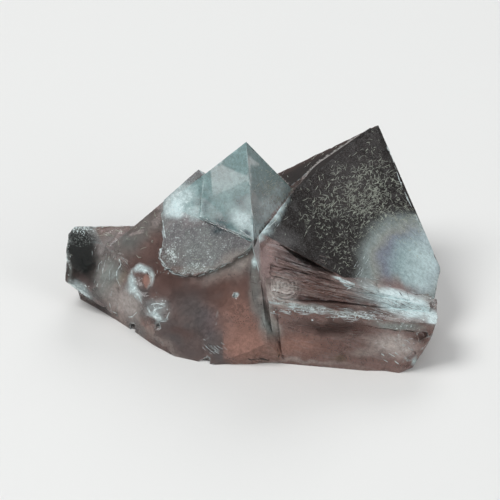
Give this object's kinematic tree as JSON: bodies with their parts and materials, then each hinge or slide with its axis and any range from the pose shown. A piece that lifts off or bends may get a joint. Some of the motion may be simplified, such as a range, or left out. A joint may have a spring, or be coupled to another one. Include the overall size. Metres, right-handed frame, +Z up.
{
  "type": "fluorite crystal specimen",
  "caption": "Clear dusky pink octahedral mineral crystals grown together, with a pale green crystal on top, a broken left end and a flat resting face.",
  "frame": {"origin": "middle of the bounding box in plan, on the resting face", "axes": "+Z up from the resting face, -Y toward the pictured side, +X to the right in the picture"},
  "size_m": [0.0626, 0.0502, 0.0313],
  "materials": {
    "fluorite_clear": "glossy crystal faces with frosted and broken patches, clear in the depth"
  },
  "bodies": {
    "root": {"fluorite_crystals": "fluorite_clear"}
  },
  "joints": []
}
